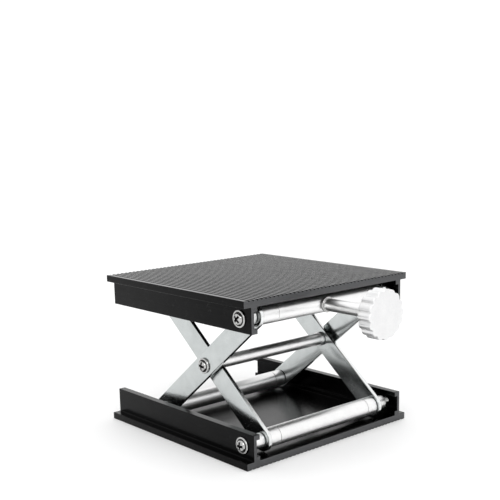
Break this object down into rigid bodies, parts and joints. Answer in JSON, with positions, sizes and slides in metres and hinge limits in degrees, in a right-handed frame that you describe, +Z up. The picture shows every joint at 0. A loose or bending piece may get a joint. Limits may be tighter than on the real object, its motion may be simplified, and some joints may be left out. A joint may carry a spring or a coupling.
{
  "type": "lab jack",
  "caption": "Small scissor lab jack: two ribbed black plates on crossed flat arms, raised and lowered by a lead screw with a fluted front knob.",
  "frame": {"origin": "centre of the base plate's underside, on the surface the jack stands on", "axes": "+Z up; -Y towards the knob, the front; +X to the right seen from the knob side"},
  "size_m": [0.09, 0.118, 0.0659],
  "materials": {
    "black_anodised": "satin black anodised extrusion",
    "zinc_plated": "bright zinc plated flat strip",
    "bright_steel": "polished plated round bar",
    "silver_alloy": "turned satin silver",
    "nickel_screw": "nickel plated"
  },
  "bodies": {
    "base": {"base_plate": "black_anodised", "bottom_axle": "bright_steel", "bottom_tube": "bright_steel", "bottom_sleeve_left": "bright_steel", "bottom_sleeve_right": "bright_steel", "bottom_spacer_left": "bright_steel", "bottom_spacer_right": "bright_steel", "bottom_screw_left": "nickel_screw", "bottom_screw_right": "nickel_screw"},
    "inner_arms": {"inner_arm_left": "zinc_plated", "inner_arm_right": "zinc_plated", "centre_rod": "bright_steel", "centre_collar_left": "bright_steel", "centre_collar_right": "bright_steel", "centre_screw_left": "nickel_screw", "centre_screw_right": "nickel_screw"},
    "outer_arms": {"outer_arm_left": "zinc_plated", "outer_arm_right": "zinc_plated", "centre_washer_left": "nickel_screw", "centre_washer_right": "nickel_screw"},
    "rear_slider": {"slider_bar": "bright_steel", "slider_sleeve_left": "bright_steel", "slider_sleeve_right": "bright_steel", "slider_spacer_left": "bright_steel", "slider_spacer_right": "bright_steel", "slider_roller_left": "nickel_screw", "slider_roller_right": "nickel_screw"},
    "nut_block": {"nut_bar": "bright_steel", "nut_sleeve_left": "bright_steel", "nut_sleeve_right": "bright_steel", "nut_spacer_left": "bright_steel", "nut_spacer_right": "bright_steel", "nut_roller_left": "nickel_screw", "nut_roller_right": "nickel_screw"},
    "platform": {"top_plate": "black_anodised", "top_bar": "bright_steel", "top_sleeve_left": "bright_steel", "top_sleeve_right": "bright_steel", "top_spacer_left": "bright_steel", "top_spacer_right": "bright_steel", "top_screw_left": "nickel_screw", "top_screw_right": "nickel_screw"},
    "lead_screw_group": {"lead_screw": "bright_steel", "knob": "silver_alloy", "screw_clip_front": "nickel_screw", "screw_clip_rear": "nickel_screw"}
  },
  "joints": [
    {"name": "fold", "type": "hinge", "parent": "base", "child": "inner_arms", "pos_m": [0, -0.0385, 0.0077], "axis": [1, 0, 0], "range_deg": [-29.7, 6]},
    {"name": "scissor", "type": "hinge", "parent": "inner_arms", "child": "outer_arms", "pos_m": [0, -0.00864, 0.032], "axis": [1, 0, 0], "range_deg": [-12.5, 60]},
    {"name": "platform_pivot", "type": "hinge", "parent": "outer_arms", "child": "platform", "pos_m": [0, -0.0385, 0.0563], "axis": [1, 0, 0], "range_deg": [-30, 6.5]},
    {"name": "nut_pivot", "type": "hinge", "parent": "inner_arms", "child": "nut_block", "pos_m": [0, 0.02122, 0.0563], "axis": [1, 0, 0], "range_deg": [-6.5, 30]},
    {"name": "slider_pivot", "type": "hinge", "parent": "outer_arms", "child": "rear_slider", "pos_m": [0, 0.02122, 0.0077], "axis": [1, 0, 0], "range_deg": [-30, 6.5]},
    {"name": "knob_spin", "type": "hinge", "parent": "platform", "child": "lead_screw_group", "pos_m": [0, -0.0385, 0.0563], "axis": [0, 1, 0], "range_deg": [-8150, 1670]}
  ],
  "couplings": [
    {"joint": "scissor", "follows": "fold", "ratio": -2},
    {"joint": "platform_pivot", "follows": "fold", "ratio": 1},
    {"joint": "nut_pivot", "follows": "fold", "ratio": -1},
    {"joint": "slider_pivot", "follows": "fold", "ratio": 1},
    {"joint": "knob_spin", "follows": "fold", "ratio": 272.7}
  ]
}
